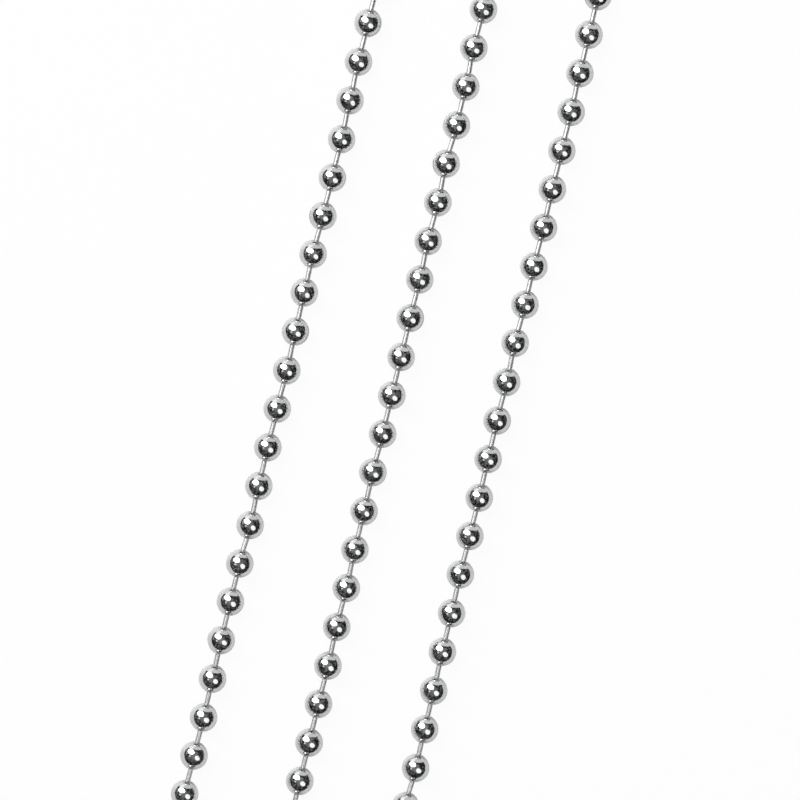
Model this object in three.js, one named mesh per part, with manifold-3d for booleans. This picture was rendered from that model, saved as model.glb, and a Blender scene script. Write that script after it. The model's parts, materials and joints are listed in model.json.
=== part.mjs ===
// A metal bead chain for a roller blind, lying flat in three parallel runs.
// Hollow steel beads are strung on short pins. A pin passes through a hole in each of the two
// beads that it joins, and its heads, wider than the holes, stay loose inside the beads.
// Millimetres, +Z up. The runs lie along Y, and the origin is on the surface under the middle bead.
import * as THREE from "three";
import { mergeVertices } from "three/addons/utils/BufferGeometryUtils.js";
import Module from "manifold-3d";

const wasm = await Module();
wasm.setup();

// Beads and pins
const BEAD_DIAMETER = 4.5;
const BEAD_LENGTH = 4.58; // pole to pole, a little more than the diameter
const BEAD_WALL = 0.25; // strip that the beads are rolled from
const PIN_DIAMETER = 0.85;
const HOLE_CLEARANCE = 0.2; // all round the pin, which lets it tilt
const HEAD_CATCH = 0.06; // how far a head's rim stands out past the edge of the hole
const HEAD_SETBACK = 0.55; // from the hole's inner edge to the head's rim
const HEAD_SLOPE_LENGTH = 0.28; // of the cone on each side of the rim
const HELD_DEPTH = BEAD_WALL * 0.8; // how far into the wall a pin that is held by its bead goes

// The chain as it lies
const PITCH = 6.4; // bead centre to bead centre on a straight run
const RUN_SPACING = 17.55; // centre line to centre line
const MIDDLE_RUN_BEADS = 11; // from the middle bead to each end of its run, not counting it
const RETURN_BEADS = 5; // that turn the chain back, between a flared bead at each end
const LINKS_PER_HALF = 20; // on each side of the middle bead
const BEADS_PER_LINK = 2; // joined with their pins in one piece

// Facets
const SIDES = 8;
const SHELL_BANDS = 5;
const HOLLOW_BANDS = 3;

// Worked out from the sizes above
const BEAD_RADIUS = BEAD_DIAMETER / 2;
const PIN_RADIUS = PIN_DIAMETER / 2;
const HOLE_RADIUS = PIN_RADIUS + HOLE_CLEARANCE;
const HEAD_RADIUS = HOLE_RADIUS + HEAD_CATCH;
const HOLLOW_RADIUS = BEAD_RADIUS - BEAD_WALL;
const HOLLOW_HALF_LENGTH = BEAD_LENGTH / 2 - BEAD_WALL;
// A pin tilts about the inner edge of the hole, so this is from a bead's centre to its pivots.
const PIVOT_REACH = heightOnOval(HOLLOW_RADIUS, HOLLOW_HALF_LENGTH, HOLE_RADIUS);
const PIN_SPAN = PITCH - 2 * PIVOT_REACH;
// A pin that is held by its bead starts this far past the pivot.
const HELD_START = BEAD_LENGTH / 2 - HELD_DEPTH - PIVOT_REACH;

const STEEL = { roughness: 0.18, metalness: 1 };
const MIDDLE_COLOUR = 0xd6d8da;
const LEFT_COLOUR = 0xc9cccf;
const RIGHT_COLOUR = 0xbfc2c6;

// How far along its length an oval of revolution has the given radius.
function heightOnOval(radius, halfLength, atRadius) {
  return halfLength * Math.sqrt(1 - (atRadius / radius) ** 2);
}

// The points of an oval's outline, from the entry side (-Y) to the exit side, poles left out.
function ovalPoints(radius, halfLength, bands) {
  const points = [];
  for (let i = 1; i < bands; i++) {
    const angle = (Math.PI * i) / bands;
    points.push(new THREE.Vector2(radius * Math.sin(angle), -halfLength * Math.cos(angle)));
  }
  return points;
}

// The bead's outside. Its widest band keeps the full diameter.
function shellPoints() {
  const widest = Math.sin((Math.PI / SHELL_BANDS) * Math.floor(SHELL_BANDS / 2));
  return ovalPoints(BEAD_RADIUS / widest, BEAD_LENGTH / 2, SHELL_BANDS);
}

function revolve(points) {
  return new THREE.LatheGeometry(points, SIDES);
}

// A bead whose holes are both filled by pins of its own piece.
function closedBead() {
  const poles = [new THREE.Vector2(0, -BEAD_LENGTH / 2), new THREE.Vector2(0, BEAD_LENGTH / 2)];
  return revolve([poles[0], ...shellPoints(), poles[1]]);
}

// A bead with an open hole on its entry side and the hollow behind it.
function openBead() {
  const mouth = heightOnOval(BEAD_RADIUS, BEAD_LENGTH / 2, HOLE_RADIUS);
  const hollow = ovalPoints(HOLLOW_RADIUS, HOLLOW_HALF_LENGTH, HOLLOW_BANDS).reverse();
  return revolve([
    new THREE.Vector2(0, HOLLOW_HALF_LENGTH),
    ...hollow,
    new THREE.Vector2(HOLE_RADIUS, -PIVOT_REACH),
    new THREE.Vector2(HOLE_RADIUS, -mouth),
    ...shellPoints(),
    new THREE.Vector2(0, BEAD_LENGTH / 2),
  ]);
}

// A pin between two beads of one piece, from wall to wall.
function heldPin() {
  return revolve([
    new THREE.Vector2(0, HELD_START),
    new THREE.Vector2(PIN_RADIUS, HELD_START),
    new THREE.Vector2(PIN_RADIUS, PIN_SPAN - HELD_START),
    new THREE.Vector2(0, PIN_SPAN - HELD_START),
  ]);
}

// A pin that ends in a loose head, inside the next piece's open bead.
function headedPin() {
  const rim = PIN_SPAN + HEAD_SETBACK;
  return revolve([
    new THREE.Vector2(0, HELD_START),
    new THREE.Vector2(PIN_RADIUS, HELD_START),
    new THREE.Vector2(PIN_RADIUS, rim - HEAD_SLOPE_LENGTH),
    new THREE.Vector2(HEAD_RADIUS, rim),
    new THREE.Vector2(0, rim + HEAD_SLOPE_LENGTH),
  ]);
}

function toSolid(geometry, place) {
  const bare = geometry.clone().applyMatrix4(place);
  bare.deleteAttribute("normal");
  bare.deleteAttribute("uv");
  const merged = mergeVertices(bare, 1e-4);
  const vertProperties = new Float32Array(merged.attributes.position.array);
  const triVerts = new Uint32Array(merged.index.array);
  return new wasm.Manifold(new wasm.Mesh({ numProp: 3, vertProperties, triVerts }));
}

function toGeometry(solid) {
  const mesh = solid.getMesh();
  const geometry = new THREE.BufferGeometry();
  geometry.setAttribute("position", new THREE.BufferAttribute(mesh.vertProperties, 3));
  geometry.setIndex(new THREE.BufferAttribute(mesh.triVerts, 1));
  const faceted = geometry.toNonIndexed();
  faceted.computeVertexNormals();
  return faceted;
}

// A place that walks along the chain, with its own +Y pointing onwards.
class Walker {
  constructor() {
    this.place = new THREE.Matrix4();
  }
  turn(angle) {
    this.place.multiply(new THREE.Matrix4().makeRotationZ(angle));
  }
  advance(length) {
    this.place.multiply(new THREE.Matrix4().makeTranslation(0, length, 0));
  }
}

// How far each bead of a return bend turns the chain. The first and last turn it the other way,
// so that it swings a little wide and meets the next run squarely.
function returnTurns(flare) {
  const bend = (Math.PI + 2 * flare) / RETURN_BEADS;
  return [-flare, ...new Array(RETURN_BEADS).fill(bend), -flare];
}

// How far to the side a return bend carries the chain.
function widthOfReturn(flare) {
  const walker = new Walker();
  for (const turn of returnTurns(flare)) {
    walker.turn(turn / 2);
    walker.advance(2 * PIVOT_REACH);
    walker.turn(turn / 2);
    walker.advance(PIN_SPAN);
  }
  return -new THREE.Vector3().setFromMatrixPosition(walker.place).x;
}

// The flare with which a return bend is as wide as the runs are apart, found by halving.
function fittingFlare() {
  let [low, high] = [-Math.PI / 3, Math.PI / 3];
  for (let step = 0; step < 50; step++) {
    const middle = (low + high) / 2;
    if (widthOfReturn(middle) > RUN_SPACING) low = middle;
    else high = middle;
  }
  return (low + high) / 2;
}

// The turn of each bead of one half of the chain, outwards from the middle bead.
// What the middle run and the return bend leave over lies straight, as an outer run.
function halfTurns() {
  const turns = new Array(LINKS_PER_HALF * BEADS_PER_LINK).fill(0);
  const bend = returnTurns(fittingFlare());
  turns.splice(MIDDLE_RUN_BEADS - 1, bend.length, ...bend);
  return turns;
}

// The last bead of the chain has its open hole on the far side.
function endBead() {
  return openBead().rotateX(Math.PI);
}

// One link, from the pivot of its first bead: beads joined by pins, and a headed pin at the end.
// Gives its solid and the place of the pivot that its last pin reaches.
function buildLink(turns, isLast) {
  const walker = new Walker();
  const solids = [];
  turns.forEach((turn, index) => {
    const isEnd = index === turns.length - 1;
    if (index > 0) walker.turn(turn / 2);
    walker.advance(PIVOT_REACH);
    const bead = index === 0 ? openBead() : isLast && isEnd ? endBead() : closedBead();
    solids.push(toSolid(bead, walker.place));
    walker.advance(PIVOT_REACH);
    walker.turn(turn / 2);
    if (!isEnd) solids.push(toSolid(heldPin(), walker.place));
    else if (!isLast) solids.push(toSolid(headedPin(), walker.place));
    if (!isEnd || !isLast) walker.advance(PIN_SPAN);
  });
  return { solid: solids.reduce((sum, next) => sum.add(next)), exit: walker.place };
}

function nameMesh(name, solid, color) {
  const mesh = new THREE.Mesh(toGeometry(solid), new THREE.MeshStandardMaterial({ color, ...STEEL }));
  mesh.name = name;
  return mesh;
}

// The middle bead with a headed pin on each side.
function buildMiddle() {
  const away = new Walker();
  away.advance(PIVOT_REACH);
  const back = new Walker();
  back.turn(Math.PI);
  back.advance(PIVOT_REACH);
  return toSolid(closedBead(), new THREE.Matrix4())
    .add(toSolid(headedPin(), away.place))
    .add(toSolid(headedPin(), back.place));
}

// One half of the chain as nested groups: each link hangs on the pivot at the end of the last one.
function addHalf(middle, side, heading, color) {
  const turns = halfTurns();
  const start = new Walker();
  start.turn(heading);
  start.advance(PIVOT_REACH + PIN_SPAN);
  let carrier = middle;
  let exit = start.place;
  for (let first = 0, number = 1; first < turns.length; first += BEADS_PER_LINK, number++) {
    const own = turns.slice(first, first + BEADS_PER_LINK);
    const pivot = new THREE.Group();
    exit.decompose(pivot.position, pivot.quaternion, pivot.scale);
    pivot.rotateZ(own[0] / 2);
    const link = buildLink(own, first + own.length >= turns.length);
    pivot.add(nameMesh(`${side}_links_${String(number).padStart(2, "0")}`, link.solid, color));
    carrier.add(pivot);
    carrier = pivot;
    exit = link.exit;
  }
}

function buildChain() {
  const chain = new THREE.Group();
  const middle = new THREE.Group();
  middle.position.z = BEAD_RADIUS;
  middle.add(nameMesh("middle_links", buildMiddle(), MIDDLE_COLOUR));
  addHalf(middle, "left", 0, LEFT_COLOUR);
  addHalf(middle, "right", Math.PI, RIGHT_COLOUR);
  chain.add(middle);
  return chain;
}

export default buildChain();
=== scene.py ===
import json
import math
import random

import bpy
import numpy as np
from mathutils import Matrix, Vector


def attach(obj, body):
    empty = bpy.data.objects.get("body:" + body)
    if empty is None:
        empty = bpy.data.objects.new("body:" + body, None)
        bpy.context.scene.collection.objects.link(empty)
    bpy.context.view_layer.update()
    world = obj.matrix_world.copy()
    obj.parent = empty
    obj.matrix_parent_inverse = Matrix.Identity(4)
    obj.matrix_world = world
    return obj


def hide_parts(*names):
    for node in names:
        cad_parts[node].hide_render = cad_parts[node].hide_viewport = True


bl_info = {
    "name": "Roller Blind Bead Chain",
    "version": (1, 0, 0),
    "blender": (4, 5, 0),
    "location": "View3D > Sidebar > Bead Chain",
    "description": "Dresses the packed bead chain: rolled steel beads on headed pins, link by link",
    "category": "Object",
}

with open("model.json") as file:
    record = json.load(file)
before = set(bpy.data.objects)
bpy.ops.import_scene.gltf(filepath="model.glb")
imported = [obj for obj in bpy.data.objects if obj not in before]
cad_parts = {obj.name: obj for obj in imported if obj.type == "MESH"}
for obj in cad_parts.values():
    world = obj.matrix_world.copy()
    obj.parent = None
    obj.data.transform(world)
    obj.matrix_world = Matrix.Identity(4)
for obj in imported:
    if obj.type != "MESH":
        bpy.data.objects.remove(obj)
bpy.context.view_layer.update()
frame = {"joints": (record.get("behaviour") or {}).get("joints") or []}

MM = 0.001
SIDES = ("left", "right")
PIVOTS = {joint["name"]: Vector(joint["pos_m"]) for joint in frame["joints"]}
LINKS_PER_HALF = len(PIVOTS) // len(SIDES)
BEAD_CENTRE_HEIGHT = PIVOTS["left_pivot_01"].z
OUTER_RUN_X = abs(PIVOTS[f"left_pivot_{LINKS_PER_HALF:02d}"].x)
PATH_TOLERANCE = 0.02 * MM

# Rows and columns of the round surfaces
BEAD_COLUMNS = 44
OUTSIDE_ROWS = 27
LIP_ROWS = 8
INSIDE_ROWS = 7
PIN_COLUMNS = 24
HEAD_ROWS = 9

# How one bead differs from the next
STRAY_SEED = 77
STRAY_FOLLOWS = 0.45  # share of the last bead's stray that a bead takes over
STRAY_LIMIT = 2.0  # times the usual stray
DENT_WAVES = 5
DENT_TURNS = (1.6, 3.4)  # of a wave, in radians over one bead radius
BEAD_LEAN = math.radians(0.4)
SEAM_FROM_TOP = (math.radians(62), math.radians(298))
NUMBER_RANGE = (0, 100)  # shifts the finish's noise from piece to piece

# The steel's finish
STEEL_GROUP = "worn_steel"
GRAIN_SHARE = 0.04  # of the fine grain beside the slow waves
HAZE_FROM, HAZE_TO = 0.48, 0.64  # values of the cloud noise where the haze starts and is full
POLE_END = 1.02  # bead radii from the centre where the dull pole is full
DULL_ROUGHNESS = 0.25  # added where the steel is fully dull

# The stage
FLOOR_SIDE = 4.0
FLOOR_ROUGHNESS = 0.9
SHEEN_ROUGHNESS = 0.45
SENSOR_WIDTH = 36.0
OVERHEAD_FROM = 0.72  # height of a direction, as a share of its length, where the room gets lighter
GROUND_FROM, GROUND_TO = -0.03, -0.01  # heights between which the pale ground ends
SOFTBOXES = (  # name, then azimuth, elevation and distance, then width and height, radiance and roll
    ("large_softbox", (145, 50.3, 1.1), (0.78, 1.2), 5.2, 18),
    ("small_softbox", (-30.5, 54.5, 1.2), (0.76, 1.0), 1.35, 0),
    ("spot_box", (202, 53, 1.2), (0.32, 0.3), 0.8, 0),
    ("top_card", (95, 0, 1.25), (2.6, 2.25), 0.75, 0),
    ("top_card_left", (122, 18, 1.2), (0.75, 0.6), 0.5, 0),
    ("left_fill", (168, 22, 1.2), (0.75, 0.4), 0.25, 0),
    ("low_card", (230, 0, 1.25), (2.4, 0.24), 0.6, 0),
)
ROOM_SEED = 41
ROOM_THINGS = 12


# Settings


class BeadSizes(bpy.types.PropertyGroup):
    """The hollow bead, which is rolled from flat strip into a ball with a hole at each pole."""

    diameter: bpy.props.FloatProperty(
        name="Diameter", description="Across the chain", default=2 * BEAD_CENTRE_HEIGHT, unit="LENGTH"
    )
    length: bpy.props.FloatProperty(
        name="Length", description="From pole to pole along the chain", default=4.58 * MM, unit="LENGTH"
    )
    wall: bpy.props.FloatProperty(
        name="Wall", description="Thickness of the strip", default=0.25 * MM, unit="LENGTH"
    )
    hole_radius: bpy.props.FloatProperty(
        name="Hole Radius",
        description="At the narrowest place of the lip",
        default=0.6 * MM,
        unit="LENGTH",
    )
    pivot_radius: bpy.props.FloatProperty(
        name="Pivot Radius",
        description="Radius of the hollow where a pin tilts in its hole",
        default=0.625 * MM,
        unit="LENGTH",
    )
    lip_lift: bpy.props.FloatProperty(
        name="Lip Lift",
        description="How far the lip is drawn out of the ball",
        default=0.03 * MM,
        unit="LENGTH",
    )
    lip_reach: bpy.props.FloatProperty(
        name="Lip Reach",
        description="From the lip to where the ball is round",
        default=0.26 * MM,
        unit="LENGTH",
    )
    seam_width: bpy.props.FloatProperty(
        name="Seam Width",
        description="Half width of the groove along the joint",
        default=0.05 * MM,
        unit="LENGTH",
    )
    seam_depth: bpy.props.FloatProperty(
        name="Seam Depth",
        description="Depth of the groove along the joint",
        default=0.06 * MM,
        unit="LENGTH",
    )
    dent_depth: bpy.props.FloatProperty(
        name="Dent Depth",
        description="How far the ball is out of true",
        default=0.016 * MM,
        unit="LENGTH",
    )


class PinSizes(bpy.types.PropertyGroup):
    """The short pin between two beads, with a swaged head at each end."""

    diameter: bpy.props.FloatProperty(
        name="Diameter", description="Of the shank", default=0.85 * MM, unit="LENGTH"
    )
    head_diameter: bpy.props.FloatProperty(
        name="Head Diameter", description="Across the head's rim", default=1.32 * MM, unit="LENGTH"
    )
    head_setback: bpy.props.FloatProperty(
        name="Head Setback",
        description="From the hole's inner edge to the head's rim",
        default=0.55 * MM,
        unit="LENGTH",
    )
    head_half_length: bpy.props.FloatProperty(
        name="Head Half Length",
        description="From the rim to the head's tip",
        default=0.25 * MM,
        unit="LENGTH",
    )


class ChainPath(bpy.types.PropertyGroup):
    """How the chain lies: three straight runs joined by two return bends."""

    pitch: bpy.props.FloatProperty(
        name="Pitch",
        description="Bead centre to bead centre",
        default=(PIVOTS["left_pivot_02"] - PIVOTS["left_pivot_01"]).length / 2,
        unit="LENGTH",
    )
    run_spacing: bpy.props.FloatProperty(
        name="Run Spacing",
        description="Between the runs' centre lines",
        default=OUTER_RUN_X,
        unit="LENGTH",
    )
    middle_run_beads: bpy.props.IntProperty(
        name="Middle Run Beads",
        description="From the middle bead to each end of its run",
        default=11,
        min=1,
    )
    return_beads: bpy.props.IntProperty(
        name="Return Beads", description="Beads that turn the chain back", default=5, min=3
    )
    beads_per_link: bpy.props.IntProperty(
        name="Beads per Link", description="Beads that move as one piece", default=2, min=1
    )
    stray: bpy.props.FloatProperty(
        name="Stray",
        description="How far the loose beads lie off the line",
        default=0.075 * MM,
        unit="LENGTH",
    )


class Finish(bpy.types.PropertyGroup):
    """The steel's colour and surface."""

    steel_colour: bpy.props.FloatVectorProperty(
        name="Steel",
        description="Clean polished steel",
        default=(0.68, 0.685, 0.69),
        subtype="COLOR",
        size=3,
    )
    pin_colour: bpy.props.FloatVectorProperty(
        name="Pin Steel",
        description="Bright drawn wire",
        default=(0.92, 0.925, 0.93),
        subtype="COLOR",
        size=3,
    )
    tarnish_colour: bpy.props.FloatVectorProperty(
        name="Tarnish",
        description="Duller steel round the holes and in the hazy patches",
        default=(0.66, 0.66, 0.67),
        subtype="COLOR",
        size=3,
    )
    bead_roughness: bpy.props.FloatProperty(
        name="Bead Roughness",
        description="Of a clean bead",
        default=0.05,
        min=0.0,
        max=1.0,
        subtype="FACTOR",
    )
    pin_roughness: bpy.props.FloatProperty(
        name="Pin Roughness",
        description="Of a clean pin",
        default=0.1,
        min=0.0,
        max=1.0,
        subtype="FACTOR",
    )
    haze: bpy.props.FloatProperty(
        name="Haze",
        description="Strength of the dull patches",
        default=0.25,
        min=0.0,
        max=1.0,
        subtype="FACTOR",
    )
    bead_unevenness: bpy.props.FloatProperty(
        name="Bead Unevenness",
        description="Depth of the waves left by forming",
        default=0.03 * MM,
        unit="LENGTH",
    )
    pin_unevenness: bpy.props.FloatProperty(
        name="Pin Unevenness",
        description="Depth of the drawing marks on a pin",
        default=0.004 * MM,
        unit="LENGTH",
    )


class Studio(bpy.types.PropertyGroup):
    """The floor, the lamps and the camera."""

    floor_colour: bpy.props.FloatVectorProperty(
        name="Floor",
        description="Pale floor under the chain",
        default=(0.9, 0.9, 0.9),
        subtype="COLOR",
        size=3,
    )
    floor_sheen: bpy.props.FloatProperty(
        name="Floor Sheen",
        description="Share of the floor's light that it mirrors softly",
        default=0.12,
        min=0.0,
        max=1.0,
        subtype="FACTOR",
    )
    white_seen: bpy.props.FloatProperty(
        name="White Seen",
        description="Share of the plain white behind it that the floor lets the camera see",
        default=0.95,
        min=0.0,
        max=1.0,
        subtype="FACTOR",
    )
    white_mirrored: bpy.props.FloatProperty(
        name="White Mirrored",
        description="Share of plain white in the floor that the steel mirrors",
        default=0.2,
        min=0.0,
        max=1.0,
        subtype="FACTOR",
    )
    room_light: bpy.props.FloatProperty(
        name="Room Light",
        description="What the steel shows of the dark room round the lamps",
        default=0.016,
        min=0.0,
    )
    light_below: bpy.props.FloatProperty(
        name="Light Below",
        description="What steel that swings below the floor shows of it",
        default=0.75,
        min=0.0,
    )
    overhead_light: bpy.props.FloatProperty(
        name="Overhead Light",
        description="What the steel shows of the room straight above",
        default=0.19,
        min=0.0,
    )
    run_tilt: bpy.props.FloatProperty(
        name="Run Tilt",
        description="How far the runs lean to the right in the picture",
        default=math.radians(13.36),
        subtype="ANGLE",
    )
    picture_width: bpy.props.FloatProperty(
        name="Picture Width",
        description="What the picture takes in, at the beads",
        default=129.17 * MM,
        unit="LENGTH",
    )
    lens: bpy.props.FloatProperty(
        name="Lens", description="Focal length in millimetres", default=400.0, min=1.0
    )


class BeadChain(bpy.types.PropertyGroup):
    """Everything that can be set on the chain and its stage."""

    bead: bpy.props.PointerProperty(type=BeadSizes)
    pin: bpy.props.PointerProperty(type=PinSizes)
    path: bpy.props.PointerProperty(type=ChainPath)
    finish: bpy.props.PointerProperty(type=Finish)
    studio: bpy.props.PointerProperty(type=Studio)


# Where the beads and pins lie


def height_on_oval(radius, half_length, at_radius):
    """How far along its length an oval of revolution has the given radius."""
    return half_length * math.sqrt(1 - (at_radius / radius) ** 2)


def pivot_reach(bead):
    """From a bead's centre to the pivots of its two pins."""
    return height_on_oval(bead.diameter / 2 - bead.wall, bead.length / 2 - bead.wall, bead.pivot_radius)


def pin_span(settings):
    """From pivot to pivot along a pin."""
    return settings.path.pitch - 2 * pivot_reach(settings.bead)


def turned(place, angle):
    return place @ Matrix.Rotation(angle, 4, "Z")


def advanced(place, length):
    return place @ Matrix.Translation((0, length, 0))


def return_turns(flare, count):
    """How far each bead of a return bend turns the chain. The first and last turn it the other way."""
    bend = (math.pi + 2 * flare) / count
    return [-flare] + [bend] * count + [-flare]


def width_of_return(flare, settings):
    """How far to the side a return bend carries the chain."""
    place = Matrix.Identity(4)
    for turn in return_turns(flare, settings.path.return_beads):
        place = advanced(turned(place, turn / 2), 2 * pivot_reach(settings.bead))
        place = advanced(turned(place, turn / 2), pin_span(settings))
    return -place.translation.x


def fitting_flare(settings):
    """The flare with which a return bend is as wide as the runs are apart, found by halving."""
    low, high = -math.pi / 3, math.pi / 3
    for _step in range(50):
        middle = (low + high) / 2
        if width_of_return(middle, settings) > settings.path.run_spacing:
            low = middle
        else:
            high = middle
    return (low + high) / 2


def half_turns(settings):
    """The turn of each bead of one half of the chain, outwards from the middle bead."""
    path = settings.path
    turns = [0.0] * (LINKS_PER_HALF * path.beads_per_link)
    bend = return_turns(fitting_flare(settings), path.return_beads)
    first = path.middle_run_beads - 1
    turns[first : first + len(bend)] = bend
    return turns


def straight_links(settings, side):
    """For each link of one half: its number, its beads' places and its pins' places.
    A bead's place is its centre and a pin's place its inner pivot, with +Y along the chain."""
    reach, span = pivot_reach(settings.bead), pin_span(settings)
    turns = half_turns(settings)
    start = Matrix.Translation((0, 0, BEAD_CENTRE_HEIGHT))
    place = advanced(turned(start, 0.0 if side == "left" else math.pi), reach + span)
    links = []
    for index, turn in enumerate(turns):
        if index % settings.path.beads_per_link == 0:
            number = index // settings.path.beads_per_link + 1
            if (place.translation - PIVOTS[f"{side}_pivot_{number:02d}"]).length > PATH_TOLERANCE:
                raise RuntimeError(f"{side} link {number} isn't where the frame has it")
            links.append((number, [], []))
        place = advanced(turned(place, turn / 2), reach)
        links[-1][1].append(place)
        place = turned(advanced(place, reach), turn / 2)
        if index < len(turns) - 1:
            links[-1][2].append(place)
        place = advanced(place, span)
    return links


def next_stray(last, chance):
    """A bead's stray one way, in usual strays, which partly follows that of the bead before it."""
    fresh = max(-STRAY_LIMIT, min(STRAY_LIMIT, chance.gauss(0, 1)))
    return STRAY_FOLLOWS * last + math.sqrt(1 - STRAY_FOLLOWS**2) * fresh


def strays_of_half(settings, side, count):
    """How far each bead of one half lies off its place, across and along the chain.
    The middle bead, which comes first, is in place."""
    chance = random.Random(STRAY_SEED + SIDES.index(side))
    stray = settings.path.stray
    across, along = 0.0, 0.0
    strays = [Vector((0, 0, 0))]
    for _bead in range(count):
        across = next_stray(across, chance)
        along = next_stray(along, chance)
        strays.append(Vector((across * stray, along * stray / 2, 0)))
    return strays


def shifted(place, stray):
    """A place moved by a stray that is given in its own axes."""
    return place @ Matrix.Translation(stray)


def strung(place, span, near, far):
    """A pin's place once its two ends have followed their beads, which strayed by near and far."""
    axes = place.to_3x3()
    leaning = (place.translation + axes @ near, place.translation + axes @ (Vector((0, span, 0)) + far))
    run = leaning[1] - leaning[0]
    middle = (leaning[0] + leaning[1]) / 2
    turn = Matrix.Rotation(math.atan2(-run.x, run.y), 4, "Z")
    return Matrix.Translation(middle - run.normalized() * (span / 2)) @ turn


def links_of_half(settings, side):
    """The links of one half as they lie, with their loose beads and pins a hair off the line."""
    span = pin_span(settings)
    links = straight_links(settings, side)
    count = sum(len(beads) for _number, beads, _pins in links)
    strays = strays_of_half(settings, side, count)
    index = 1
    loose = []
    for number, beads, pins in links:
        own = strays[index : index + len(beads) + 1]
        index += len(beads)
        moved_beads = [shifted(place, stray) for place, stray in zip(beads, own)]
        moved_pins = [strung(place, span, *own[step : step + 2]) for step, place in enumerate(pins)]
        loose.append((number, moved_beads, moved_pins))
    return loose


# Shapes


def bead_outline(bead):
    """The closed outline of a bead's wall as (radius, height) points, round the outside and the hollow."""
    radius, half_length = bead.diameter / 2, bead.length / 2
    lip_radius = bead.wall * 0.4
    lip_centre = bead.hole_radius + lip_radius
    shoulder = lip_centre + bead.lip_reach
    first = math.asin(shoulder / radius)
    outside = []
    for angle in np.linspace(math.pi - first, first, OUTSIDE_ROWS):
        outside.append((radius * math.sin(angle), half_length * math.cos(angle)))
    lip_height = height_on_oval(radius, half_length, lip_centre) + bead.lip_lift - lip_radius
    neck = []
    for share in (0.35, 0.7):
        at = shoulder + (lip_centre - shoulder) * share
        lift = bead.lip_lift * share**2
        neck.append((at, height_on_oval(radius, half_length, at) + lift))
    lip = []
    for angle in np.linspace(math.pi / 2, math.pi * 1.5, LIP_ROWS):
        at = lip_centre + lip_radius * math.cos(angle)
        lip.append((at, lip_height + lip_radius * math.sin(angle)))
    hollow, hollow_half = radius - bead.wall, half_length - bead.wall
    start = math.asin((lip_centre + lip_radius) / hollow)
    inside = []
    for angle in np.linspace(start, math.pi / 2, INSIDE_ROWS):
        inside.append((hollow * math.sin(angle), hollow_half * math.cos(angle)))
    upper = neck + lip + inside
    lower = [(at, -height) for at, height in reversed(upper[:-1])]
    return np.array(outside + upper + lower)


def seam_angles(bead):
    """The angles of a bead's columns: even ones, with narrow ones on each side of the seam at 0."""
    beside = np.array([0.4, 0.8, 1.6, 3.2]) * bead.seam_width / (bead.diameter / 2)
    even = np.linspace(0, 2 * math.pi, BEAD_COLUMNS, endpoint=False)
    return np.sort(np.concatenate([beside, even, 2 * math.pi - beside]))


def revolved(outline, angles, is_ring):
    """Corners and faces of an outline of (radius, height) points turned about Y.
    A ring's outline closes on itself. Any other starts and ends on the axis."""
    count, columns = len(outline), len(angles)
    radii, heights = outline[:, 0, None], outline[:, 1, None]
    corners = np.empty((count, columns, 3))
    corners[..., 0] = radii * np.sin(angles)
    corners[..., 1] = heights
    corners[..., 2] = radii * np.cos(angles)
    faces = []
    for row in range(count if is_ring else count - 1):
        after = (row + 1) % count
        for column in range(columns):
            beside = (column + 1) % columns
            near_row, far_row = row * columns, after * columns
            faces.append((near_row + column, far_row + column, far_row + beside, near_row + beside))
    return corners.reshape(-1, 3), np.array(faces)


def bead_shape(bead):
    """Corners and faces of a bead about its centre, with its seam on the +Z side."""
    angles = seam_angles(bead)
    corners, faces = revolved(bead_outline(bead), angles, True)
    away = np.hypot(corners[:, 0], corners[:, 2])
    across = np.abs(corners[:, 0]) / bead.seam_width
    dip = np.exp(-(across**2)) * (corners[:, 2] > 0) * bead.seam_depth
    outermost = np.hypot(away / (bead.diameter / 2), corners[:, 1] / (bead.length / 2))
    outside_from = 0.96  # between the hollow, at about 0.89, and the outside, at 1
    shrink = 1 - (outermost > outside_from) * dip / np.linalg.norm(corners, axis=1)
    return corners * shrink[:, None], faces


def pin_outline(settings):
    """The outline of a pin from tip to tip, from the inner pivot to the outer one."""
    pin, span = settings.pin, pin_span(settings)
    shank, head = pin.diameter / 2, pin.head_diameter / 2
    round_to = math.radians(58)
    tip = []
    for angle in np.linspace(-math.pi / 2, round_to, HEAD_ROWS):
        tip.append((head * math.cos(angle), pin.head_half_length * math.sin(angle) - pin.head_setback))
    tip[0] = (0.0, tip[0][1])
    neck = (shank * 1.04, -pin.head_setback + pin.head_half_length * 1.15)
    middle = [(shank, span * share) for share in (0.0, 0.15, 0.3, 0.5)]
    first_half = tip + [neck] + middle
    second_half = [(at, span - height) for at, height in reversed(first_half[:-1])]
    return np.array(first_half + second_half)


def pin_shape(settings):
    """Corners and faces of a pin, whose tips are single corners."""
    angles = np.linspace(0, 2 * math.pi, PIN_COLUMNS, endpoint=False)
    outline = pin_outline(settings)
    corners, faces = revolved(outline, angles, False)
    last = (len(outline) - 1) * PIN_COLUMNS
    kept = np.arange(len(corners))
    kept[:PIN_COLUMNS] = 0
    kept[last:] = last
    faces = kept[faces]
    used, places = np.unique(faces, return_inverse=True)
    return corners[used], places.reshape(faces.shape)


def moved(corners, place):
    return corners @ np.array(place.to_3x3()).T + np.array(place.translation)


def distinct(face):
    """A face without the corners that it names twice."""
    return [corner for index, corner in enumerate(face) if corner != face[index - 1]]


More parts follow.
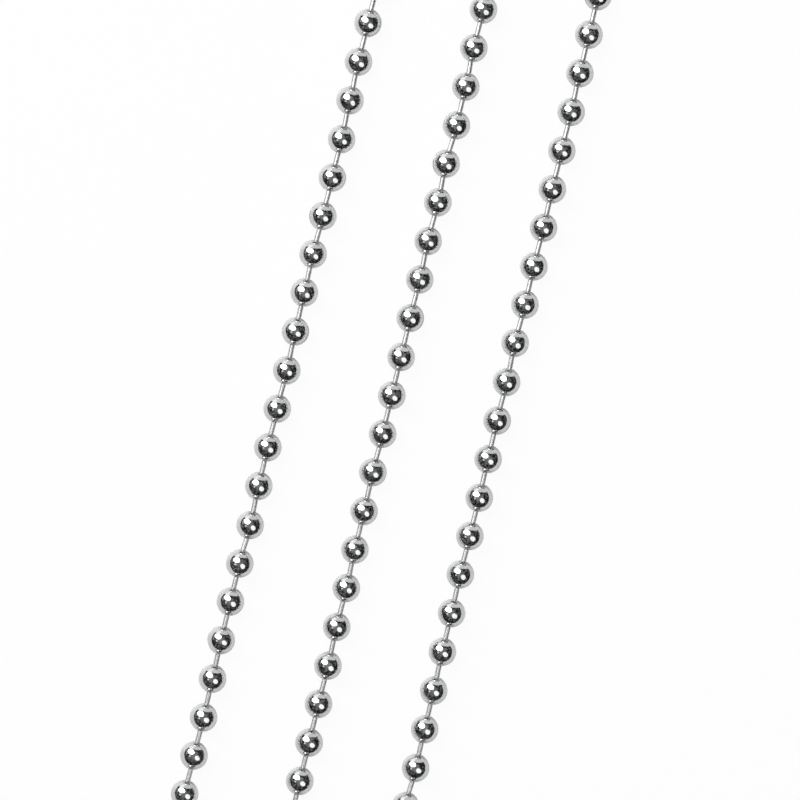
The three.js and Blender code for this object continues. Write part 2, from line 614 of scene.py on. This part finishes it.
class LinkMesh:
    """Gathers the beads and pins of one link, and makes them one object."""

    def __init__(self):
        self.corners = []
        self.faces = []
        self.materials = []
        self.places = []
        self.numbers = []

    def add(self, shape, place, material, radius, number):
        """Adds a bead or pin at its place. For its finish, each corner keeps its own place in the shape,
        in radii, and the bead's or pin's own number."""
        corners, faces = shape
        offset = sum(len(block) for block in self.corners)
        self.corners.append(moved(corners, place))
        self.faces.extend(distinct([int(corner) + offset for corner in face]) for face in faces)
        self.materials.extend([material] * len(faces))
        self.places.append(corners / radius)
        self.numbers.append(np.full(len(corners), number))

    def finish(self, name, materials):
        mesh = bpy.data.meshes.new(name)
        mesh.from_pydata(np.concatenate(self.corners).tolist(), [], self.faces)
        for material in materials:
            mesh.materials.append(material)
        mesh.polygons.foreach_set("material_index", self.materials)
        mesh.shade_smooth()
        own_place = mesh.attributes.new("own_place", "FLOAT_VECTOR", "POINT")
        own_place.data.foreach_set("vector", np.concatenate(self.places).ravel())
        own_number = mesh.attributes.new("own_number", "FLOAT", "POINT")
        own_number.data.foreach_set("value", np.concatenate(self.numbers))
        mesh.update()
        piece = bpy.data.objects.new(name, mesh)
        bpy.context.scene.collection.objects.link(piece)
        return piece


def dented(shape, bead, chance):
    """A bead's shape, slightly out of true between its poles. Dents only go inwards."""
    corners, faces = shape
    radius = bead.diameter / 2
    heights = np.zeros(len(corners))
    for _wave in range(DENT_WAVES):
        direction = np.array([chance.gauss(0, 1) for _axis in range(3)])
        turns = chance.uniform(*DENT_TURNS) / radius
        along = corners @ (direction / np.linalg.norm(direction))
        heights += np.sin(along * turns + chance.uniform(0, 2 * math.pi))
    depth = bead.dent_depth * (heights.max() - heights) / np.ptp(heights)
    clear_of_poles = 1 - np.clip(np.abs(corners[:, 1]) / (bead.length / 2), 0, 1) ** 4
    return corners * (1 - depth * clear_of_poles / radius)[:, None], faces


def rolled_bead(place, chance):
    """A bead's place with the bead a hair off square, and its seam on the side or underneath."""
    nod = Matrix.Rotation(chance.gauss(0, BEAD_LEAN), 4, "X")
    sway = Matrix.Rotation(chance.gauss(0, BEAD_LEAN), 4, "Z")
    return place @ nod @ sway @ Matrix.Rotation(chance.uniform(*SEAM_FROM_TOP), 4, "Y")


def dress_link(settings, name, body, node, beads, pins, seed):
    """Builds one link's beads and pins, and hangs them on their body in place of the plain node."""
    chance = random.Random(seed)
    materials = [bead_steel(settings), pin_steel(settings)]
    bead, pin = bead_shape(settings.bead), pin_shape(settings)
    link = LinkMesh()
    for place in beads:
        shape = dented(bead, settings.bead, chance)
        rolled = rolled_bead(place, chance)
        link.add(shape, rolled, 0, settings.bead.diameter / 2, chance.uniform(*NUMBER_RANGE))
    for place in pins:
        spun = place @ Matrix.Rotation(chance.uniform(0, 2 * math.pi), 4, "Y")
        link.add(pin, spun, 1, settings.pin.diameter / 2, chance.uniform(*NUMBER_RANGE))
    piece = link.finish(name, materials)
    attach(piece, body)
    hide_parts(node)


# Finishes


def add_node(tree, kind, x, y, **values):
    node = tree.nodes.new(kind)
    node.location = (x, y)
    for key, value in values.items():
        setattr(node, key, value)
    return node


def noise(tree, place, x, y, scale, detail):
    """A noise texture laid out by the given place node."""
    texture = add_node(tree, "ShaderNodeTexNoise", x, y)
    texture.inputs["Scale"].default_value = scale
    texture.inputs["Detail"].default_value = detail
    tree.links.new(place.outputs[0], texture.inputs["Vector"])
    return texture


def worn_steel_group():
    """A shader group for formed steel: slow waves and fine grain, drawing lines, haze, and dull poles."""
    if STEEL_GROUP in bpy.data.node_groups:
        return bpy.data.node_groups[STEEL_GROUP]
    tree = bpy.data.node_groups.new(STEEL_GROUP, "ShaderNodeTree")
    for label, kind in (
        ("Clean", "NodeSocketColor"),
        ("Tarnished", "NodeSocketColor"),
        ("Clean Roughness", "NodeSocketFloat"),
        ("Wave Scale", "NodeSocketFloat"),
        ("Line Share", "NodeSocketFloat"),
        ("Haze", "NodeSocketFloat"),
        ("Pole", "NodeSocketFloat"),
    ):
        tree.interface.new_socket(label, in_out="INPUT", socket_type=kind)
    for label, kind in (
        ("Colour", "NodeSocketColor"),
        ("Roughness", "NodeSocketFloat"),
        ("Metallic", "NodeSocketFloat"),
        ("Height", "NodeSocketFloat"),
    ):
        tree.interface.new_socket(label, in_out="OUTPUT", socket_type=kind)
    link = tree.links.new
    given = add_node(tree, "NodeGroupInput", -1500, 0)
    result = add_node(tree, "NodeGroupOutput", 700, 0)

    place = add_node(tree, "ShaderNodeAttribute", -1500, 400, attribute_name="own_place")
    number = add_node(tree, "ShaderNodeAttribute", -1500, 600, attribute_name="own_number")
    own = add_node(tree, "ShaderNodeVectorMath", -1250, 450, operation="ADD")
    link(place.outputs["Vector"], own.inputs[0])
    link(number.outputs["Fac"], own.inputs[1])

    drawn_out = add_node(tree, "ShaderNodeVectorMath", -1250, 650, operation="MULTIPLY")
    drawn_out.inputs[1].default_value = (1.0, 0.4, 1.0)
    link(own.outputs[0], drawn_out.inputs[0])
    waves = noise(tree, drawn_out, -950, 600, 1.0, 1.5)
    link(given.outputs["Wave Scale"], waves.inputs["Scale"])
    grain = noise(tree, own, -950, 350, 11.0, 2.0)
    stretched = add_node(tree, "ShaderNodeVectorMath", -1250, 150, operation="MULTIPLY")
    stretched.inputs[1].default_value = (2.0, 34.0, 2.0)
    link(own.outputs[0], stretched.inputs[0])
    lines = noise(tree, stretched, -950, 100, 1.0, 3.0)
    rippled = add_node(tree, "ShaderNodeMath", -600, 500, operation="MULTIPLY_ADD")
    rippled.inputs[1].default_value = GRAIN_SHARE
    link(grain.outputs["Fac"], rippled.inputs[0])
    link(waves.outputs["Fac"], rippled.inputs[2])
    height = add_node(tree, "ShaderNodeMix", -300, 400, data_type="FLOAT")
    link(given.outputs["Line Share"], height.inputs["Factor"])
    link(rippled.outputs[0], height.inputs["A"])
    link(lines.outputs["Fac"], height.inputs["B"])
    link(height.outputs["Result"], result.inputs["Height"])

    clouds = noise(tree, own, -950, -150, 8.0, 4.0)
    hazy = add_node(tree, "ShaderNodeMapRange", -700, -150)
    hazy.inputs["From Min"].default_value = HAZE_FROM
    hazy.inputs["From Max"].default_value = HAZE_TO
    link(clouds.outputs["Fac"], hazy.inputs["Value"])
    haze = add_node(tree, "ShaderNodeMath", -450, -150, operation="MULTIPLY")
    link(hazy.outputs[0], haze.inputs[0])
    link(given.outputs["Haze"], haze.inputs[1])

    parts = add_node(tree, "ShaderNodeSeparateXYZ", -1250, -400)
    link(place.outputs["Vector"], parts.inputs[0])
    along = add_node(tree, "ShaderNodeMath", -1000, -400, operation="ABSOLUTE")
    link(parts.outputs["Y"], along.inputs[0])
    by_pole = add_node(tree, "ShaderNodeMapRange", -700, -400, interpolation_type="SMOOTHSTEP")
    by_pole.inputs["From Max"].default_value = POLE_END
    link(along.outputs[0], by_pole.inputs["Value"])
    link(given.outputs["Pole"], by_pole.inputs["From Min"])

    dulled = add_node(tree, "ShaderNodeMath", -200, -250, operation="ADD", use_clamp=True)
    link(haze.outputs[0], dulled.inputs[0])
    link(by_pole.outputs[0], dulled.inputs[1])
    colour = add_node(tree, "ShaderNodeMix", 100, 200, data_type="RGBA")
    link(dulled.outputs[0], colour.inputs["Factor"])
    link(given.outputs["Clean"], colour.inputs["A"])
    link(given.outputs["Tarnished"], colour.inputs["B"])
    link(colour.outputs["Result"], result.inputs["Colour"])
    roughness = add_node(tree, "ShaderNodeMath", 100, -100, operation="MULTIPLY_ADD", use_clamp=True)
    roughness.inputs[1].default_value = DULL_ROUGHNESS
    link(dulled.outputs[0], roughness.inputs[0])
    link(given.outputs["Clean Roughness"], roughness.inputs[2])
    link(roughness.outputs[0], result.inputs["Roughness"])
    metallic = add_node(tree, "ShaderNodeMath", 100, -300, operation="SUBTRACT", use_clamp=True)
    metallic.inputs[0].default_value = 1.0
    link(haze.outputs[0], metallic.inputs[1])
    link(metallic.outputs[0], result.inputs["Metallic"])
    return tree


def steel_material(name, settings, colour, roughness, unevenness, wave_scale, line_share, pole):
    """Polished steel whose colour, roughness, haze and bump come from the worn steel group."""
    if name in bpy.data.materials:
        return bpy.data.materials[name]
    material = bpy.data.materials.new(name)
    material.use_nodes = True
    tree = material.node_tree
    shader = tree.nodes["Principled BSDF"]
    worn = add_node(tree, "ShaderNodeGroup", -500, 200, node_tree=worn_steel_group())
    worn.inputs["Clean"].default_value = (*colour, 1.0)
    worn.inputs["Tarnished"].default_value = (*settings.finish.tarnish_colour, 1.0)
    worn.inputs["Clean Roughness"].default_value = roughness
    worn.inputs["Wave Scale"].default_value = wave_scale
    worn.inputs["Line Share"].default_value = line_share
    worn.inputs["Haze"].default_value = settings.finish.haze
    worn.inputs["Pole"].default_value = pole
    bump = add_node(tree, "ShaderNodeBump", -250, -200)
    bump.inputs["Strength"].default_value = 1.0
    bump.inputs["Distance"].default_value = unevenness
    tree.links.new(worn.outputs["Colour"], shader.inputs["Base Color"])
    tree.links.new(worn.outputs["Roughness"], shader.inputs["Roughness"])
    tree.links.new(worn.outputs["Metallic"], shader.inputs["Metallic"])
    tree.links.new(worn.outputs["Height"], bump.inputs["Height"])
    tree.links.new(bump.outputs["Normal"], shader.inputs["Normal"])
    return material


def bead_steel(settings):
    """Steel of the beads, dull from 0.7 radii along their length to the poles."""
    finish = settings.finish
    return steel_material(
        "bead_steel",
        settings,
        colour=finish.steel_colour,
        roughness=finish.bead_roughness,
        unevenness=finish.bead_unevenness,
        wave_scale=2.4,
        line_share=0.1,
        pole=0.7,
    )


def pin_steel(settings):
    """Steel of the pins, whose pole would lie past their ends, so none of it is dull for that."""
    finish = settings.finish
    return steel_material(
        "pin_steel",
        settings,
        colour=finish.pin_colour,
        roughness=finish.pin_roughness,
        unevenness=finish.pin_unevenness,
        wave_scale=0.9,
        line_share=0.3,
        pole=40.0,
    )


def floor_material(studio):
    """A pale floor, which the steel mirrors partly as plain white. The camera sees part of it as the lamps
    light it, and through the rest of it the white behind, with any link that swings below the floor.
    From below the floor isn't there."""
    material = bpy.data.materials.new("studio_floor")
    material.use_nodes = True
    tree = material.node_tree
    shader = tree.nodes["Principled BSDF"]
    shader.inputs["Base Color"].default_value = (*studio.floor_colour, 1.0)
    shader.inputs["Roughness"].default_value = FLOOR_ROUGHNESS
    shader.inputs["Specular IOR Level"].default_value = 0.0
    gloss = add_node(tree, "ShaderNodeBsdfAnisotropic", 0, 0)
    gloss.inputs["Roughness"].default_value = SHEEN_ROUGHNESS
    surface = add_node(tree, "ShaderNodeMixShader", 200, 150)
    surface.inputs["Fac"].default_value = studio.floor_sheen
    tree.links.new(shader.outputs["BSDF"], surface.inputs[1])
    tree.links.new(gloss.outputs["BSDF"], surface.inputs[2])
    white = add_node(tree, "ShaderNodeEmission", 0, -200)
    white.inputs["Color"].default_value = (1.0, 1.0, 1.0, 1.0)
    white.inputs["Strength"].default_value = 1.0
    path = add_node(tree, "ShaderNodeLightPath", -700, 300)
    mirrored = add_node(tree, "ShaderNodeMath", -500, 200, operation="MAXIMUM")
    tree.links.new(path.outputs["Is Glossy Ray"], mirrored.inputs[0])
    tree.links.new(path.outputs["Is Transmission Ray"], mirrored.inputs[1])
    share = add_node(tree, "ShaderNodeMath", -100, 250, operation="MULTIPLY")
    share.inputs[1].default_value = studio.white_mirrored
    tree.links.new(mirrored.outputs[0], share.inputs[0])
    from_above = add_node(tree, "ShaderNodeMixShader", 400, 0)
    tree.links.new(share.outputs[0], from_above.inputs["Fac"])
    tree.links.new(surface.outputs[0], from_above.inputs[1])
    tree.links.new(white.outputs["Emission"], from_above.inputs[2])
    geometry = add_node(tree, "ShaderNodeNewGeometry", -500, 600)
    clear = add_node(tree, "ShaderNodeMath", -300, 500, operation="MULTIPLY_ADD", use_clamp=True)
    clear.inputs[1].default_value = studio.white_seen
    tree.links.new(path.outputs["Is Camera Ray"], clear.inputs[0])
    tree.links.new(geometry.outputs["Backfacing"], clear.inputs[2])
    gone = add_node(tree, "ShaderNodeBsdfTransparent", 400, -200)
    mix = add_node(tree, "ShaderNodeMixShader", 600, 100)
    tree.links.new(clear.outputs[0], mix.inputs["Fac"])
    tree.links.new(from_above.outputs[0], mix.inputs[1])
    tree.links.new(gone.outputs[0], mix.inputs[2])
    tree.nodes["Material Output"].location = (800, 100)
    tree.links.new(mix.outputs[0], tree.nodes["Material Output"].inputs["Surface"])
    return material


# The stage


def picture_axes(studio):
    """Right, up and towards the camera in the picture, as directions in the row frame."""
    tilt = studio.run_tilt
    right = Vector((math.cos(tilt), math.sin(tilt), 0))
    up = Vector((-math.sin(tilt), math.cos(tilt), 0))
    return Matrix((right, up, Vector((0, 0, 1)))).transposed()


def add_floor(studio):
    mesh = bpy.data.meshes.new("studio_floor")
    half = FLOOR_SIDE / 2
    corners = [(-half, -half, 0), (half, -half, 0), (half, half, 0), (-half, half, 0)]
    mesh.from_pydata(corners, [], [(0, 1, 2, 3)])
    floor = bpy.data.objects.new("studio_floor", mesh)
    mesh.materials.append(floor_material(studio))
    bpy.context.scene.collection.objects.link(floor)


def add_softbox(name, azimuth, elevation, distance, size, radiance, roll):
    """An oval lamp that faces the chain from a distance. Its azimuth is turned from +X towards +Y, its size
    is across and upwards before it is rolled in its own plane, and a mirror shows its radiance."""
    lamp = bpy.data.lights.new(name, "AREA")
    lamp.shape = "ELLIPSE"
    lamp.size, lamp.size_y = size
    lamp.energy = radiance * math.pi * (math.pi / 4 * size[0] * size[1])
    turn, rise = math.radians(azimuth), math.radians(elevation)
    away = Vector((math.cos(turn) * math.cos(rise), math.sin(turn) * math.cos(rise), math.sin(rise)))
    softbox = bpy.data.objects.new(name, lamp)
    softbox.location = away * distance
    facing = away.to_track_quat("Z", "Y").to_matrix() @ Matrix.Rotation(math.radians(roll), 3, "Z")
    softbox.rotation_euler = facing.to_euler()
    softbox.visible_camera = False
    bpy.context.scene.collection.objects.link(softbox)


def add_room_things():
    """Dim things on the near side of the room, which the beads mirror as a faint mottle."""
    chance = random.Random(ROOM_SEED)
    for number in range(ROOM_THINGS):
        azimuth = chance.uniform(190, 320)
        elevation = chance.uniform(20, 66)
        size = (chance.uniform(0.12, 0.34), chance.uniform(0.06, 0.13))
        radiance = chance.uniform(0.05, 0.34)
        roll = chance.uniform(0, 180)
        add_softbox(f"room_thing_{number}", azimuth, elevation, 1.35, size, radiance, roll)


def set_world(studio):
    """White behind the floor for the camera. For the steel it is a dark room, a little lighter overhead,
    over a pale ground that only links below the floor show."""
    world = bpy.data.worlds.new("studio")
    bpy.context.scene.world = world
    world.use_nodes = True
    tree = world.node_tree
    background = tree.nodes["Background"]
    background.inputs["Strength"].default_value = 1.0
    directions = add_node(tree, "ShaderNodeTexCoord", -1100, -100)
    parts = add_node(tree, "ShaderNodeSeparateXYZ", -900, -100)
    tree.links.new(directions.outputs["Generated"], parts.inputs[0])
    overhead = add_node(tree, "ShaderNodeMapRange", -700, -100, interpolation_type="SMOOTHSTEP")
    overhead.inputs["From Min"].default_value = OVERHEAD_FROM
    overhead.inputs["To Min"].default_value = studio.room_light
    overhead.inputs["To Max"].default_value = studio.overhead_light
    tree.links.new(parts.outputs["Z"], overhead.inputs["Value"])
    ground = add_node(tree, "ShaderNodeMapRange", -700, -400)
    ground.inputs["From Min"].default_value = GROUND_FROM
    ground.inputs["From Max"].default_value = GROUND_TO
    ground.inputs["To Min"].default_value = studio.light_below
    ground.inputs["To Max"].default_value = 0.0
    tree.links.new(parts.outputs["Z"], ground.inputs["Value"])
    room = add_node(tree, "ShaderNodeMath", -500, -200, operation="ADD")
    tree.links.new(overhead.outputs[0], room.inputs[0])
    tree.links.new(ground.outputs[0], room.inputs[1])
    path = add_node(tree, "ShaderNodeLightPath", -700, 300)
    shade = add_node(tree, "ShaderNodeMix", -300, 0, data_type="RGBA")
    shade.inputs["B"].default_value = (1.0, 1.0, 1.0, 1.0)
    tree.links.new(path.outputs["Is Camera Ray"], shade.inputs["Factor"])
    tree.links.new(room.outputs[0], shade.inputs["A"])
    tree.links.new(shade.outputs["Result"], background.inputs["Color"])


def add_camera(studio):
    """A long lens straight above, turned so that the runs lean to the right."""
    middle_bead = Vector((-1.325 * MM, 0.75 * MM, 0))  # from the picture's centre, rightwards and upwards
    camera_data = bpy.data.cameras.new("picture")
    camera_data.lens = studio.lens
    camera_data.sensor_width = SENSOR_WIDTH
    camera_data.sensor_height = SENSOR_WIDTH
    camera_data.sensor_fit = "HORIZONTAL"
    distance = studio.picture_width * camera_data.lens / camera_data.sensor_width
    camera_data.clip_start = distance / 100
    camera_data.clip_end = distance * 10
    camera = bpy.data.objects.new("picture", camera_data)
    axes = picture_axes(studio)
    centre = Vector((0, 0, BEAD_CENTRE_HEIGHT)) - axes @ middle_bead
    camera.matrix_world = Matrix.Translation(centre + Vector((0, 0, distance))) @ axes.to_4x4()
    bpy.context.scene.collection.objects.link(camera)
    bpy.context.scene.camera = camera


# Operators


class BEADCHAIN_OT_middle_link(bpy.types.Operator):
    """Build the middle bead with the pins on both sides of it"""

    bl_idname = "beadchain.middle_link"
    bl_label = "Middle Link"

    def execute(self, context):
        settings = context.scene.bead_chain
        centre = Matrix.Translation((0, 0, BEAD_CENTRE_HEIGHT))
        pins = []
        for angle in (0, math.pi):
            pins.append(advanced(turned(centre, angle), pivot_reach(settings.bead)))
        dress_link(settings, "middle_link", "middle", "middle_links", [centre], pins, seed=0)
        return {"FINISHED"}


class BEADCHAIN_OT_half_chain(bpy.types.Operator):
    """Build the links of one half of the chain, from the middle to its free end"""

    bl_idname = "beadchain.half_chain"
    bl_label = "Half Chain"

    side: bpy.props.EnumProperty(
        name="Side",
        description="Which way the half leads from the middle bead",
        items=[(side, side.capitalize(), f"Towards the {side} run") for side in SIDES],
    )

    def execute(self, context):
        settings = context.scene.bead_chain
        for number, beads, pins in links_of_half(settings, self.side):
            label = f"{number:02d}"
            seed = number + 1000 * (1 + SIDES.index(self.side))
            names = (f"{self.side}_link_{label}", f"{self.side}_{label}", f"{self.side}_links_{label}")
            dress_link(settings, *names, beads, pins, seed)
        return {"FINISHED"}


class BEADCHAIN_OT_stage(bpy.types.Operator):
    """Set up the pale floor, the softboxes, the dark room and the camera"""

    bl_idname = "beadchain.stage"
    bl_label = "Stage"

    def execute(self, context):
        studio = context.scene.bead_chain.studio
        add_floor(studio)
        for name, place, size, radiance, roll in SOFTBOXES:
            add_softbox(name, *place, size, radiance, roll)
        add_room_things()
        set_world(studio)
        add_camera(studio)
        context.scene.view_settings.view_transform = "Standard"
        return {"FINISHED"}


class BEADCHAIN_PT_panel(bpy.types.Panel):
    """Lists the chain's pieces and settings"""

    bl_idname = "BEADCHAIN_PT_panel"
    bl_label = "Bead Chain"
    bl_space_type = "VIEW_3D"
    bl_region_type = "UI"
    bl_category = "Bead Chain"

    def draw(self, context):
        settings = context.scene.bead_chain
        for title, group in (
            ("Bead", settings.bead),
            ("Pin", settings.pin),
            ("Path", settings.path),
            ("Finish", settings.finish),
            ("Studio", settings.studio),
        ):
            box = self.layout.box()
            box.label(text=title)
            for name in group.__annotations__:
                box.prop(group, name)
        self.layout.operator(BEADCHAIN_OT_middle_link.bl_idname)
        for side in SIDES:
            half = self.layout.operator(BEADCHAIN_OT_half_chain.bl_idname, text=f"{side.capitalize()} Half")
            half.side = side
        self.layout.operator(BEADCHAIN_OT_stage.bl_idname)


CLASSES = (
    BeadSizes,
    PinSizes,
    ChainPath,
    Finish,
    Studio,
    BeadChain,
    BEADCHAIN_OT_middle_link,
    BEADCHAIN_OT_half_chain,
    BEADCHAIN_OT_stage,
    BEADCHAIN_PT_panel,
)


def register():
    for cls in CLASSES:
        bpy.utils.register_class(cls)
    bpy.types.Scene.bead_chain = bpy.props.PointerProperty(type=BeadChain)


def unregister():
    del bpy.types.Scene.bead_chain
    for cls in reversed(CLASSES):
        bpy.utils.unregister_class(cls)


def main():
    register()
    bpy.ops.beadchain.middle_link()
    for side in SIDES:
        bpy.ops.beadchain.half_chain(side=side)
    bpy.ops.beadchain.stage()


if __name__ == "__main__":
    main()
